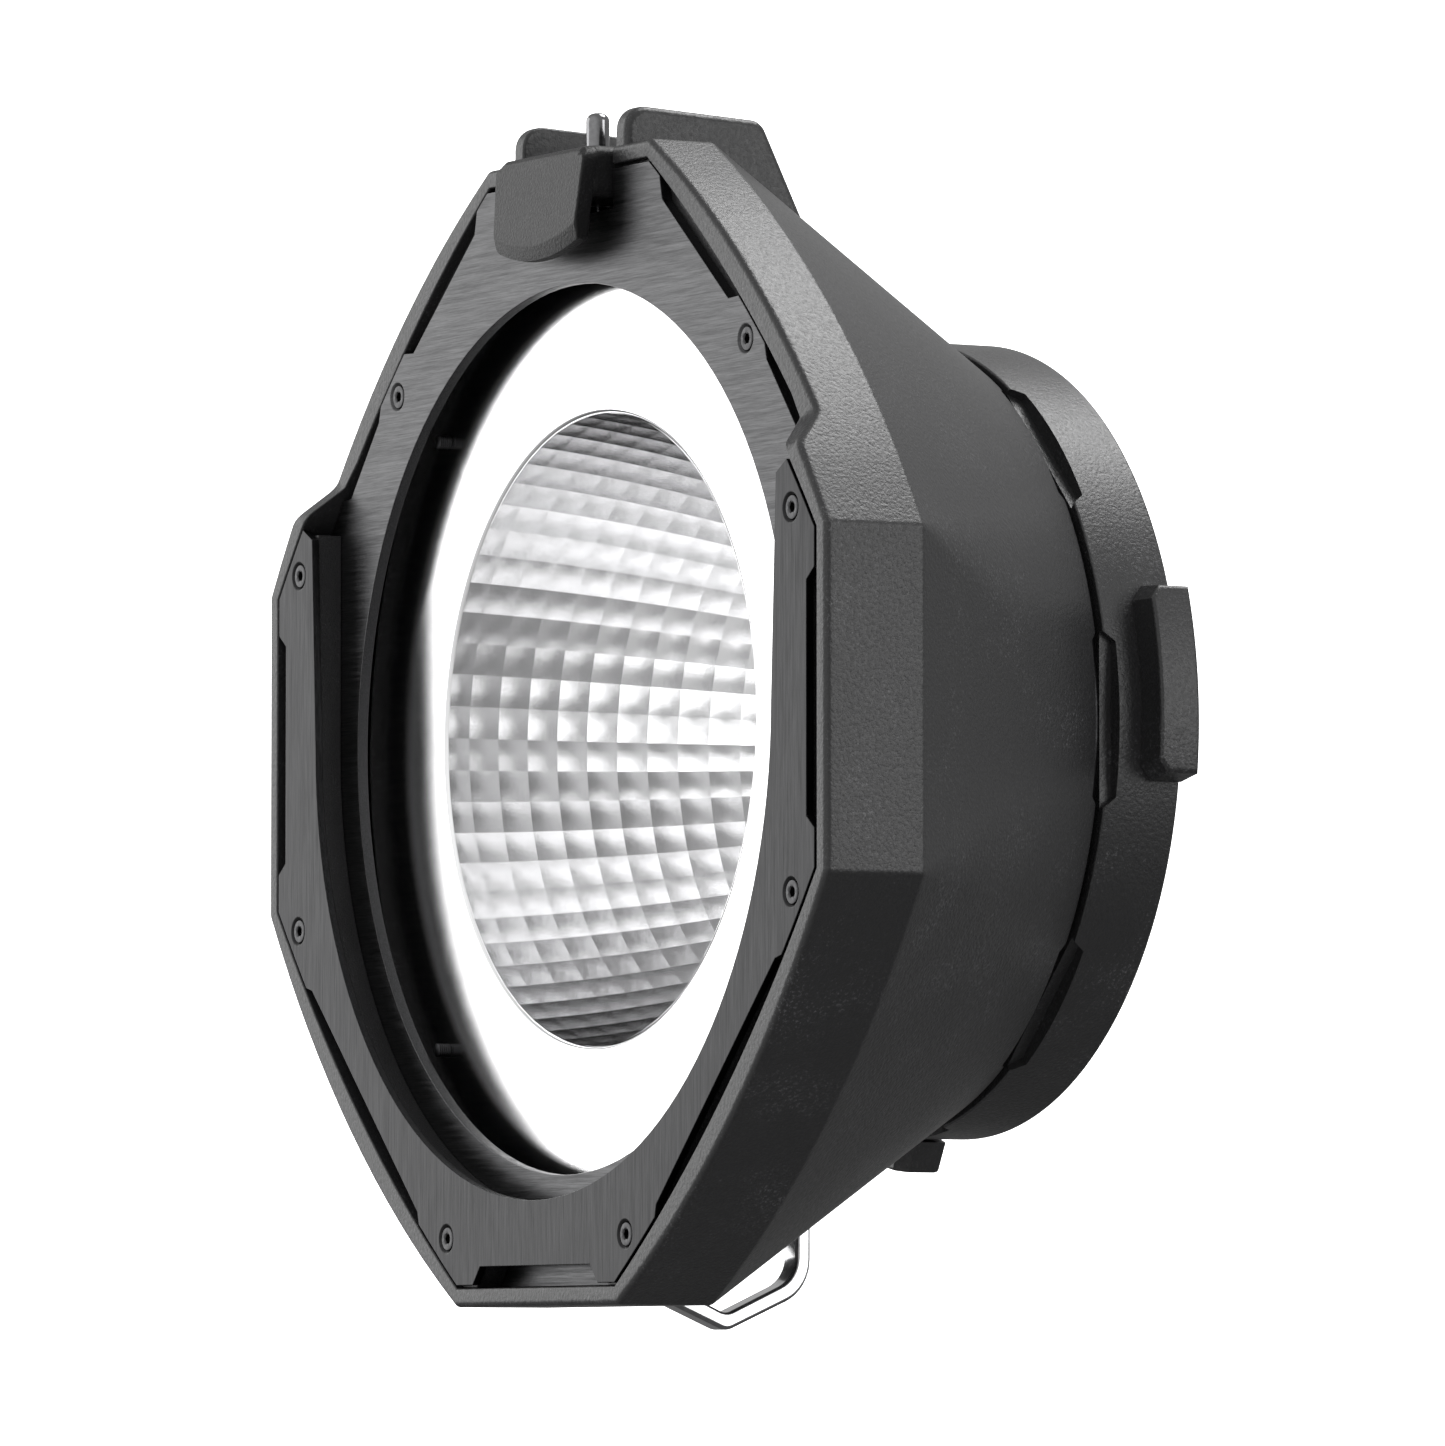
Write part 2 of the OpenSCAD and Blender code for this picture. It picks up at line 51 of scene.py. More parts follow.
# The slot's plates and the octagonal band round them. An octagon is its half width, the half
# length of its flats, and its half width across the bowed diagonals.
RIM_D = (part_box("back_plate")[0].y - FRONT_Y) / MM
BACK_REAR = (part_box("back_plate")[1].y - FRONT_Y) / MM
BAND_HALF = -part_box("housing_shell")[0].x / MM
WALL = 3.2
BAND = (BAND_HALF, 35.5, 118.9)
INNER = (BAND_HALF - WALL, 34.5, 118.9 - WALL)
POCKET = (BAND_HALF - 4, 34.6, 113)
BAND_END = 23
CORNER = 2.2
POCKET_CORNER = 0.8
FRONT_ROUND = 1.4
POCKET_EDGE = 0.5
STEP_LOW, STEP_HIGH = 52, 59            # heights between which the rim drops back

# The body behind the band: radii and depths of its rear end, web, shelf and ledge.
SHELL_END = 88.2
SHELL_END_R = 85.4
BODY_LENGTH = SHELL_END - BAND_END
REAR_ROUND = 0.7
REAR_BORE = 82.4
WEB_R = 86.4
NECK_BORE = 70.2
WEB_D, WEB_END = 80, 84                 # the wall that holds the rear flange
SHELF_R = 84
SHELF_D, SHELF_END = 18, 21             # the shelf that the reflector is screwed to
LEDGE_R = 104.6
LEDGE_END = BACK_REAR + 4               # the ledge behind the back plate

# The latch: places are (depth, height), and outlines add a corner radius.
FIN_IN = 20.2
FIN_OUT = 25.2
FIN_OUTLINE = [(8.2, 120.8, 0), (8.2, 130.9, 5), (41.4, 129.1, 4), (51.5, 108.6, 0),
               (54.4, 103, 0), (23, 120.8, 0)]
CHANNEL_FLOOR = 108
CHANNEL_END = 53
HINGE = (41, 116.5)
HINGE_HOLE_R = 2.02
PLUNGER_D = 15.2
PLUNGER_HOLE_R = 3.1

# The reflector: a flat flange, a throat and the bowl behind it.
THROAT_R = 67.3
MIRROR_D = (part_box("reflector_flange")[0].y - FRONT_Y) / MM
BOWL_END = (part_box("reflector_bowl")[1].y - FRONT_Y) / MM
BOWL_WALL = 1.5
FACETS = 60
FACET_SPLIT = 4                         # stretches that each side of a facet is drawn with
FACET_ROW = 6.75
FACET_BULGE = 0.19
FACET_START = math.radians(4.5)

# The lock ring, and the windows between it and the body.
RING_R = 86
RING_FRONT = (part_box("lock_ring")[0].y - FRONT_Y) / MM
RING_REAR = (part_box("lock_ring")[1].y - FRONT_Y) / MM
WINDOW_DEEP = 2
GRIP_R = 94
GRIP_ANGLES = (5.3, -110.5, 127.4)

# Screws, by their places (x, height).
FRONT_SCREWS = [(108.2, 39.2), (-108.2, 39.2), (108.2, -39.2), (-108.2, -39.2),
                (39.2, -107.7), (-39.2, -107.7)]
BACK_SCREWS = [(76.5, 76.7), (-76.5, 76.7)]
REFLECTOR_SCREWS = [(x, z) for x in (-66.3, 66.3) for z in (-66.3, 66.3)]

# The safety eyelet: outlines of (depth, height, corner radius).
EYE_OUTLINE = [(66, -90, 0), (66, -118.6, 10), (45.3, -127.6, 4), (24.6, -118.8, 0),
               (24.6, -112, 0), (40, -90, 0)]
EYE_WINDOW = [(62.4, -99.6, 0), (62.4, -116.1, 7), (45.2, -123.8, 3.4), (36, -119.6, 0),
              (32.5, -116.6, 0)]
EYE_SCREWS = [(47, -97.5), (59, -94)]


# ---- mesh helpers -----------------------------------------------------------------

def place(x, d, z):
    """A point in the frame, in metres, from millimetres and a depth."""
    return Vector((x * MM, FRONT_Y + d * MM, z * MM))


def linked_object(name, points, faces):
    """A new mesh object in the scene, its points in metres."""
    mesh = bpy.data.meshes.new(name)
    mesh.from_pydata(points, [], faces)
    obj = bpy.data.objects.new(name, mesh)
    bpy.context.scene.collection.objects.link(obj)
    return obj


def mesh_object(name, points, faces):
    """A new mesh object, its points given as millimetres and depths."""
    return linked_object(name, [place(*p) for p in points], faces)


def tidy(obj, merge=0.002):
    """Merges doubled points, drops empty faces and turns the normals outwards."""
    bm = bmesh.new()
    bm.from_mesh(obj.data)
    bmesh.ops.remove_doubles(bm, verts=bm.verts, dist=merge * MM)
    bmesh.ops.dissolve_degenerate(bm, dist=merge * MM, edges=bm.edges)
    bmesh.ops.recalc_face_normals(bm, faces=bm.faces)
    bm.to_mesh(obj.data)
    bm.free()


def shade(obj, angle=30, weighted=True):
    """Smooth faces, sharp at edges over the angle."""
    obj.data.shade_smooth()
    obj.data.set_sharp_from_angle(angle=math.radians(angle))
    if weighted:
        modifier = obj.modifiers.new("normals", "WEIGHTED_NORMAL")
        modifier.keep_sharp = True


def side_faces(count, rings, cyclic=False):
    """Quads between neighbouring rings, each ring of count points."""
    faces = []
    for i in range(rings if cyclic else rings - 1):
        a, b = i * count, ((i + 1) % rings) * count
        for j in range(count):
            k = (j + 1) % count
            faces.append((a + j, a + k, b + k, b + j))
    return faces


def loft(name, rings, cyclic=False):
    """A skin over rings of equal length; its ends are closed unless it runs round."""
    count = len(rings[0])
    points = [p for ring in rings for p in ring]
    faces = side_faces(count, len(rings), cyclic)
    if not cyclic:
        faces.append(tuple(range(count)))
        faces.append(tuple(range(len(points) - 1, len(points) - 1 - count, -1)))
    obj = mesh_object(name, points, faces)
    tidy(obj)
    return obj


def joined(solids):
    """One object from solids that stay separate inside it."""
    first = solids[0]
    for other in solids[1:]:
        bm = bmesh.new()
        bm.from_mesh(first.data)
        bm.from_mesh(other.data)
        bm.to_mesh(first.data)
        bm.free()
        bpy.data.objects.remove(other)
    return first


def apply_modifiers(obj):
    """Turns the object's modifiers into its own mesh."""
    graph = bpy.context.evaluated_depsgraph_get()
    mesh = bpy.data.meshes.new_from_object(obj.evaluated_get(graph))
    obj.modifiers.clear()
    obj.data = mesh


def combine(obj, tool, operation):
    """Adds, cuts or intersects with a tool solid, which is then removed."""
    modifier = obj.modifiers.new("combine", "BOOLEAN")
    modifier.operation = operation
    modifier.solver = "EXACT"
    modifier.object = tool
    apply_modifiers(obj)
    bpy.data.objects.remove(tool)
    return obj


def cut(obj, tool):
    """Takes a tool's shape away."""
    return combine(obj, tool, "DIFFERENCE")


def add(obj, tool):
    """Fuses a tool's shape on."""
    return combine(obj, tool, "UNION")


def block(name, x, d, z):
    """A box between pairs of limits."""
    ring = [(0, 0), (1, 0), (1, 1), (0, 1)]
    return loft(name, [[(x[i], d[k], z[j]) for i, j in ring] for k in (0, 1)])


def circle(radius, depth, count=96, at=(0, 0)):
    """Ring round a place (x, z) at a depth."""
    return [(at[0] + radius * math.cos(t), depth, at[1] + radius * math.sin(t))
            for t in (2 * math.pi * k / count for k in range(count))]


def rod_y(name, radius, d0, d1, at, count=32):
    """Rod along the depth, at a place (x, z)."""
    return loft(name, [circle(radius, d, count, at) for d in (d0, d1)])


def rod_x(name, radius, x0, x1, at, count=32):
    """Rod across, at a place (depth, z)."""
    rings = [[(x, p[0], p[2]) for p in circle(radius, 0, count)] for x in (x0, x1)]
    return loft(name, [[(x, at[0] + d, at[1] + z) for x, d, z in ring] for ring in rings])


def rod_z(name, radius, z0, z1, depth, count=48):
    """Upright rod on the middle line."""
    return loft(name, [[(p[0], depth + p[2], z) for p in circle(radius, 0, count)]
                       for z in (z0, z1)])


def lathe(name, profile, count=192, cyclic=False):
    """Turns a profile of (radius, depth) points round the optical axis."""
    return loft(name, [circle(r, d, count) for r, d in profile], cyclic)


def arc(centre, radius, start, end, steps):
    """Points of an arc between two angles in degrees."""
    turns = (math.radians(start + (end - start) * k / steps) for k in range(steps + 1))
    return [(centre[0] + radius * math.cos(t), centre[1] + radius * math.sin(t))
            for t in turns]


def rounded(corners, steps=7):
    """A closed outline whose corners (x, y, radius) are rounded."""
    points = []
    for i, (x, y, radius) in enumerate(corners):
        here = Vector((x, y))
        if not radius:
            points.append((x, y))
            continue
        u = (Vector(corners[i - 1][:2]) - here).normalized()
        v = (Vector(corners[(i + 1) % len(corners)][:2]) - here).normalized()
        half = u.angle(v) / 2
        centre = here + (u + v).normalized() * radius / math.sin(half)
        p = here + u * radius / math.tan(half) - centre
        q = here + v * radius / math.tan(half) - centre
        turn = math.atan2(p.x * q.y - p.y * q.x, p.dot(q))
        for k in range(steps + 1):
            c, s = math.cos(turn * k / steps), math.sin(turn * k / steps)
            points.append((centre.x + p.x * c - p.y * s, centre.y + p.x * s + p.y * c))
    return points


def inset(points, amount, shares=None):
    """The outline moved inwards with mitred corners, each point by its share of the amount."""
    area = sum(a[0] * b[1] - a[1] * b[0] for a, b in zip(points, points[1:] + points[:1]))
    side = 1 if area > 0 else -1
    moved = []
    for i, point in enumerate(points):
        before = (Vector(point) - Vector(points[i - 1])).normalized()
        after = (Vector(points[(i + 1) % len(points)]) - Vector(point)).normalized()
        n1 = Vector((-before.y, before.x)) * side
        n2 = Vector((-after.y, after.x)) * side
        share = max(0.3, (1 + n1.dot(n2)))
        move = (n1 + n2) * amount / share * (shares[i] if shares else 1)
        moved.append((point[0] + move.x, point[1] + move.y))
    return moved


def pillow(outline, low, high, round_low, round_high, steps=4):
    """Levels (height, outline) of a plate with rounded edges on both faces."""
    levels = []
    for k in range(steps + 1):
        t = math.pi / 2 * k / steps
        levels.append((low + round_low * (1 - math.cos(t)),
                       inset(outline, round_low * (1 - math.sin(t)))))
    for k in range(steps, -1, -1):
        t = math.pi / 2 * k / steps
        levels.append((high - round_high * (1 - math.cos(t)),
                       inset(outline, round_high * (1 - math.sin(t)))))
    return levels


def merged_faces(mesh):
    """Points and faces of a CAD mesh, its flat stretches merged into single faces."""
    bm = bmesh.new()
    bm.from_mesh(mesh)
    bmesh.ops.remove_doubles(bm, verts=bm.verts, dist=0.001 * MM)
    bmesh.ops.dissolve_limit(bm, angle_limit=math.radians(0.4), verts=bm.verts, edges=bm.edges)
    bm.verts.ensure_lookup_table()
    points = [v.co.copy() for v in bm.verts]
    faces = [[v.index for v in f.verts] for f in bm.faces]
    bm.free()
    return points, faces


def rounded_copy(node, name, width, segments=3, angle=28):
    """A CAD node's own shape with its edges rounded."""
    obj = linked_object(name, *merged_faces(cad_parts[node].data))
    bevel = obj.modifiers.new("edges", "BEVEL")
    bevel.width = width * MM
    bevel.segments = segments
    bevel.limit_method = "ANGLE"
    bevel.use_clamp_overlap = False
    bevel.angle_limit = math.radians(angle)
    apply_modifiers(obj)
    shade(obj)
    return obj


def finish_piece(obj, body, slot, material, *nodes):
    """Gives a piece its finish and its body; it stands for the named CAD nodes."""
    obj.data.materials.clear()
    obj.data.materials.append(material)
    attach(obj, body)
    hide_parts(*nodes)
    return obj


# ---- materials --------------------------------------------------------------------

def map_range(tree, value, start, end, low, high):
    """Maps a value from one range to another, held at the ends."""
    node = tree.nodes.new("ShaderNodeMapRange")
    node.inputs["From Min"].default_value = start
    node.inputs["From Max"].default_value = end
    node.inputs["To Min"].default_value = low
    node.inputs["To Max"].default_value = high
    tree.links.new(value, node.inputs["Value"])
    return node.outputs["Result"]


class Shader:
    """A material under construction, with short calls for its nodes."""

    def __init__(self, name, colour, metallic, roughness):
        self.material = bpy.data.materials.new(name)
        self.material.use_nodes = True
        self.tree = self.material.node_tree
        self.surface = self.tree.nodes["Principled BSDF"]
        self.surface.inputs["Base Color"].default_value = (*colour, 1)
        self.surface.inputs["Metallic"].default_value = metallic
        self.surface.inputs["Roughness"].default_value = roughness
        self.colour = colour

    def node(self, kind, **values):
        """A new node with some of its settings."""
        made = self.tree.nodes.new(kind)
        for key, value in values.items():
            setattr(made, key, value)
        return made

    def link(self, output, target):
        self.tree.links.new(output, target)

    def noise(self, scale, detail=3.0, stretch=(1, 1, 1), rough=0.5, vector=None):
        """Noise over the piece's own coordinates, in features per metre."""
        if vector is None:
            vector = self.node("ShaderNodeTexCoord").outputs["Object"]
        mapping = self.node("ShaderNodeMapping")
        mapping.inputs["Scale"].default_value = stretch
        texture = self.node("ShaderNodeTexNoise")
        texture.inputs["Scale"].default_value = scale
        texture.inputs["Detail"].default_value = detail
        texture.inputs["Roughness"].default_value = rough
        self.link(vector, mapping.inputs["Vector"])
        self.link(mapping.outputs["Vector"], texture.inputs["Vector"])
        return texture.outputs["Fac"]

    def span(self, value, low, high, start=0.3, end=0.7):
        """Spreads the middle of a noise over a range."""
        return map_range(self.tree, value, start, end, low, high)

    def tint(self, value, low, high):
        """Colour that follows a value between two brightnesses of the base colour."""
        mix = self.node("ShaderNodeMix", data_type="RGBA")
        dark, light = (socket for socket in mix.inputs if socket.type == "RGBA")
        dark.default_value = (*(c * low for c in self.colour), 1)
        light.default_value = (*(c * high for c in self.colour), 1)
        self.link(self.span(value, 0, 1), mix.inputs["Factor"])
        mixed = next(socket for socket in mix.outputs if socket.type == "RGBA")
        self.link(mixed, self.surface.inputs["Base Color"])

    def roughness(self, value, low, high):
        """Roughness that follows a value."""
        self.link(self.span(value, low, high), self.surface.inputs["Roughness"])

    def bump(self, *layers):
        """Stacks bump layers of (height, distance in millimetres, strength)."""
        normal = None
        for height, distance, strength in layers:
            made = self.node("ShaderNodeBump")
            made.inputs["Distance"].default_value = distance * MM
            made.inputs["Strength"].default_value = strength
            self.link(height, made.inputs["Height"])
            if normal is not None:
                self.link(normal, made.inputs["Normal"])
            normal = made.outputs["Normal"]
        self.link(normal, self.surface.inputs["Normal"])

    def radius(self):
        """Distance from the optical axis and depth, as a vector for turned finishes."""
        coords = self.node("ShaderNodeTexCoord").outputs["Object"]
        split = self.node("ShaderNodeSeparateXYZ")
        flat = self.node("ShaderNodeCombineXYZ")
        length = self.node("ShaderNodeVectorMath", operation="LENGTH")
        out = self.node("ShaderNodeCombineXYZ")
        self.link(coords, split.inputs["Vector"])
        self.link(split.outputs["X"], flat.inputs["X"])
        self.link(split.outputs["Z"], flat.inputs["Z"])
        self.link(flat.outputs["Vector"], length.inputs[0])
        self.link(length.outputs["Value"], out.inputs["X"])
        self.link(split.outputs["Y"], out.inputs["Y"])
        return out.outputs["Vector"]


def moulding(name, colour, grain=2900, clouds=0.5, sheen=0.6):
    """Matte black moulding with a fine spark-eroded grain and faint mottling."""
    s = Shader(name, colour, 0.0, 0.5)
    fine = s.noise(grain, 2.0, rough=0.6)
    pebble = s.noise(grain * 0.42, 2.0)
    mottle = s.noise(60, 3.0)
    specks = s.noise(grain * 0.5, 2.0, rough=0.8)
    mottled_specks = s.node("ShaderNodeMath", operation="MULTIPLY")
    s.link(s.span(mottle, 0.2, 1), mottled_specks.inputs[0])
    s.link(s.span(specks, 0, 1, 0.45, 0.75), mottled_specks.inputs[1])
    s.tint(mottled_specks.outputs["Value"], 1 - 0.3 * clouds, 1 + 5 * clouds)
    s.roughness(pebble, 0.36, 0.46)
    s.bump((pebble, 0.15, 0.9), (fine, 0.05, 0.7))
    s.surface.inputs["Specular IOR Level"].default_value = sheen
    return s.material


def brushed(name, colour, along, rough=0.36):
    """Dark anodised sheet brushed along X or along Z."""
    s = Shader(name, colour, 1.0, rough)
    stretch = (0.03, 1, 1) if along == "x" else (1, 1, 0.03)
    lines = s.noise(4200, 5.0, stretch, 0.75)
    broad = s.noise(1500, 3.0, stretch, 0.6)
    s.tint(lines, 0.55, 1.45)
    s.roughness(broad, rough - 0.08, rough + 0.1)
    s.bump((lines, 0.010, 0.5), (broad, 0.006, 0.4))
    return s.material


def turned(name, colour, rough, depth=0.6):
    """Metal turned on a lathe, with fine concentric marks."""
    s = Shader(name, colour, 1.0, rough)
    marks = s.noise(3000, 3.0, rough=0.6, vector=s.radius())
    smears = s.noise(160, 4.0)
    s.tint(smears, 0.85, 1.12)
    s.roughness(marks, rough - 0.08, rough + 0.1)
    s.bump((marks, 0.012, depth))
    return s.material


def mirror(name, colour, rough, ripple):
    """Polished aluminium with a faint haze and the slightest waviness."""
    s = Shader(name, colour, 1.0, rough)
    haze = s.noise(60, 2.0)
    specks = s.noise(5200, 3.0, rough=0.7)
    s.tint(haze, 0.99, 1.01)
    s.roughness(haze, rough * 0.95, rough * 1.05)
    s.bump((specks, ripple, 0.5))
    return s.material


def metal(name, colour, rough, grain=900):
    """Plain metal with small scratches and uneven lustre."""
    s = Shader(name, colour, 1.0, rough)
    lustre = s.noise(grain, 4.0)
    scratches = s.noise(grain * 5, 2.0, (1, 1, 0.1))
    s.tint(lustre, 0.88, 1.1)
    s.roughness(lustre, rough * 0.75, rough * 1.35)
    s.bump((scratches, 0.004, 0.4))
    return s.material


HOUSING_MAT = moulding("housing_black", (0.021, 0.021, 0.022))
LATCH_MAT = moulding("latch_black", (0.013, 0.013, 0.0135), grain=4200, clouds=0.3, sheen=0.28)
FRONT_MAT = brushed("front_plate_brushed", (0.030, 0.030, 0.031), "z")
BACK_MAT = brushed("back_plate_brushed", (0.076, 0.076, 0.078), "x")
SPACER_MAT = moulding("spacer_black", (0.022, 0.022, 0.023), grain=7000)
SCREW_MAT = metal("screw_black", (0.06, 0.06, 0.062), 0.34)
MIRROR_MAT = mirror("reflector_flange_polish", (0.96, 0.96, 0.965), 0.11, 0.022)
BOWL_MAT = mirror("reflector_bowl_polish", (0.87, 0.87, 0.875), 0.14, 0.002)
STEEL_MAT = metal("zinc_steel", (0.50, 0.50, 0.51), 0.33)
POLISHED_MAT = metal("polished_steel", (0.55, 0.55, 0.56), 0.10)
PIN_MAT = metal("ground_pin_steel", (0.22, 0.22, 0.225), 0.12)
DARK_STEEL_MAT = metal("phosphated_steel", (0.05, 0.05, 0.052), 0.45)
ANODISED_MAT = turned("black_anodised_turned", (0.016, 0.016, 0.017), 0.48)
BAYONET_MAT = turned("bayonet_steel_turned", (0.58, 0.58, 0.59), 0.28)


# ---- housing ----------------------------------------------------------------------

def bow(outline):
    """Centre coordinate and radius of the bowed diagonal of an octagon."""
    half, flat, diag = outline
    chord = (half - flat) / math.sqrt(2)
    rise = diag - (half + flat) / math.sqrt(2)
    radius = (chord ** 2 + rise ** 2) / (2 * rise)
    return (diag - radius) / math.sqrt(2), radius


def outline_samples():
    """Where an octagon is sampled: the stretch, and how far along it."""
    centre, radius = bow(BAND)
    start = math.asin((BAND[1] - centre) / radius)
    span = math.pi / 2 - 2 * start
    bow_steps, turn_steps = 16, 14
    heights = [STEP_LOW - 2 + 0.75 * k for k in range(16)]
    near_step = [(math.asin((z - centre) / radius) - start) / span for z in heights]
    even = {k / bow_steps for k in range(bow_steps + 1)}
    along_bow = even | set(near_step) | {1 - t for t in near_step}
    quarter = [("flat", t) for t in (0, 0.5, 0.97)]
    quarter += [("turn", k / turn_steps) for k in range(turn_steps)]
    quarter += [("bow", t) for t in sorted(along_bow)]
    quarter += [("turn_back", k / turn_steps) for k in range(1, turn_steps + 1)]
    quarter += [("flat_back", t) for t in (0.03, 0.5)]
    return [(q, kind, t) for q in range(4) for kind, t in quarter]


SAMPLES = outline_samples()


def outline_point(outline, sample, gap, corner):
    """Point and normal angle of an octagon moved inwards by a gap, with rounded corners."""
    quarter, kind, t = sample
    centre, radius = bow(outline)
    w = outline[0] - gap - corner
    r = radius - gap - corner
    f = centre + math.sqrt(r * r - (w - centre) ** 2)
    start = math.atan2(f - centre, w - centre)
    if kind == "flat":
        x, z, angle = w, f * t, 0
    elif kind == "turn":
        x, z, angle = w, f, start * t
    elif kind == "bow":
        angle = start + t * (math.pi / 2 - 2 * start)
        x, z = centre + r * math.cos(angle), centre + r * math.sin(angle)
    elif kind == "turn_back":
        x, z, angle = f, w, math.pi / 2 - start * (1 - t)
    else:
        x, z, angle = f * (1 - t), w, math.pi / 2
    x += corner * math.cos(angle)
    z += corner * math.sin(angle)
    for _ in range(quarter):
        x, z = -z, x
    return x, z, angle + quarter * math.pi / 2


def octagon(outline, depth, gap=0.0, corner=CORNER, step=None):
    """Ring of an octagon at a depth, to which the step's own depth is added."""
    ring = []
    for sample in SAMPLES:
        x, z, _ = outline_point(outline, sample, gap, corner)
        ring.append((x, depth + (step(z) if step else 0), z))
    return ring


def taper_ring(outline, end_r, t, depth, gap=0.0):
    """Ring of the body between its octagon (t = 0) and its round rear end (t = 1)."""
    ring = []
    for sample in SAMPLES:
        x, z, angle = outline_point(outline, sample, gap, CORNER)
        x = (1 - t) * x + t * (end_r - gap) * math.cos(angle)
        z = (1 - t) * z + t * (end_r - gap) * math.sin(angle)
        ring.append((x, depth, z))
    return ring


def round_ring(radius, depth, like):
    """Ring of a circle, each point in line with the same point of another ring."""
    return [(radius * x / math.hypot(x, z), depth, radius * z / math.hypot(x, z))
            for x, _, z in like]


def rim_step(z):
    """How far back the front rim lies at a height: the accessory slot is open above."""
    soft = 0.2
    u = (z - STEP_LOW) / (STEP_HIGH - STEP_LOW)
    if u <= -soft:
        share = 0
    elif u < soft:
        share = (u + soft) ** 2 / (4 * soft)
    elif u < 1 - soft:
        share = u
    elif u < 1 + soft:
        share = 1 - (1 + soft - u) ** 2 / (4 * soft)
    else:
        share = 1
    return RIM_D * share


def quarter_turns(steps):
    """Angles of a quarter turn in equal steps."""
    return [math.pi / 2 * k / steps for k in range(steps + 1)]


def rim_rings():
    """The front rim: a fine edge at the pocket, then a rounder one outside."""
    rings = []
    for t in quarter_turns(3):
        depth = POCKET_EDGE * (1 - math.sin(t))
        gap = -POCKET_EDGE * (1 - math.cos(t))
        rings.append(octagon(POCKET, depth, gap, POCKET_CORNER, rim_step))
    for t in quarter_turns(5):
        depth = FRONT_ROUND * (1 - math.cos(t))
        gap = FRONT_ROUND * (1 - math.sin(t))
        rings.append(octagon(BAND, depth, gap, max(CORNER - gap, 0.1), rim_step))
    rings.append(octagon(BAND, FRONT_ROUND + 0.6, 0, CORNER, rim_step))
    return rings


def body_rings():
    """The band's side and the body behind it, which ends round with a soft edge."""
    rings = [octagon(BAND, BAND_END - 1.2), octagon(BAND, BAND_END - 0.4),
             octagon(BAND, BAND_END - 0.05, 0.05)]
    for t in (0.006, 0.02, 0.15, 0.32, 0.5, 0.68, 0.84, 0.95):
        rings.append(taper_ring(BAND, SHELL_END_R, t, BAND_END + t * BODY_LENGTH))
    for t in quarter_turns(4):
        gap = REAR_ROUND * (1 - math.cos(t))
        back = SHELL_END - REAR_ROUND * (1 - math.sin(t))
        share = (back - BAND_END) / BODY_LENGTH
        rings.append(taper_ring(BAND, SHELL_END_R - gap, min(share, 1), back))
    return rings


def inside_rings():
    """The inside from the rear: bore, web, tapered wall, shelf and ledge."""
    rings = [taper_ring(INNER, radius, 1, depth)
             for radius, depth in ((REAR_BORE, SHELL_END), (REAR_BORE, WEB_END),
                                   (NECK_BORE, WEB_END), (NECK_BORE, WEB_D), (WEB_R, WEB_D))]
    for t in (0.66, 0.33):
        rings.append(taper_ring(INNER, WEB_R, t, SHELF_END + t * (WEB_D - SHELF_END)))
    for radius, back, front, outline, corner in (
            (SHELF_R, SHELF_END, SHELF_D, INNER, CORNER),
            (LEDGE_R, LEDGE_END, BACK_REAR, POCKET, POCKET_CORNER)):
        rings.append(octagon(INNER, back))
        rings.append(round_ring(radius, back, rings[-1]))
        rings.append(round_ring(radius, front, rings[-1]))
        rings.append(octagon(outline, front, 0, corner))
    return rings


def channel_walls():
    """Floor and sides of the latch channel, trimmed to lie inside the housing's wall."""
    side, above = FIN_IN + WALL, 125
    walls = block("channel", (-side, side), (BACK_REAR + 1, CHANNEL_END + 3),
                  (CHANNEL_FLOOR - WALL, above))
    skin_end, gap = 62, WALL / 2
    t = (skin_end - BAND_END) / BODY_LENGTH
    skin = loft("skin", [octagon(BAND, BACK_REAR + 0.5, gap), octagon(BAND, BAND_END, gap),
                         taper_ring(BAND, SHELL_END_R, t, skin_end, gap)])
    return combine(walls, skin, "INTERSECT")


def fin(side):
    """One guard fin beside the latch; side is 1 or -1."""
    inner_round, outer_round = 0.7, 1.7
    levels = pillow(rounded(FIN_OUTLINE, 9), FIN_IN, FIN_OUT, inner_round, outer_round, 5)
    return loft("fin", [[(side * x, d, z) for d, z in points] for x, points in levels])


def window_tools(deep, mouth, inner):
    """The eight gaps between housing and lock ring, as one tool; they widen to their mouths."""
    windows, tip_angle, mouth_angle, outer = 8, 11, 12.8, 92
    tip = RING_R * math.sin(math.radians(tip_angle))
    wide = RING_R * math.sin(math.radians(mouth_angle))
    outline = [(deep, -tip), (mouth, -wide), (mouth, wide), (deep, tip)]
    tools = []
    for k in range(windows):
        turn = math.radians(360 / windows * k)
        c, s = math.cos(turn), math.sin(turn)
        rings = [[(r * c - w * s, d, r * s + w * c) for d, w in outline]
                 for r in (inner, outer)]
        tools.append(loft("window", rings))
    return joined(tools)


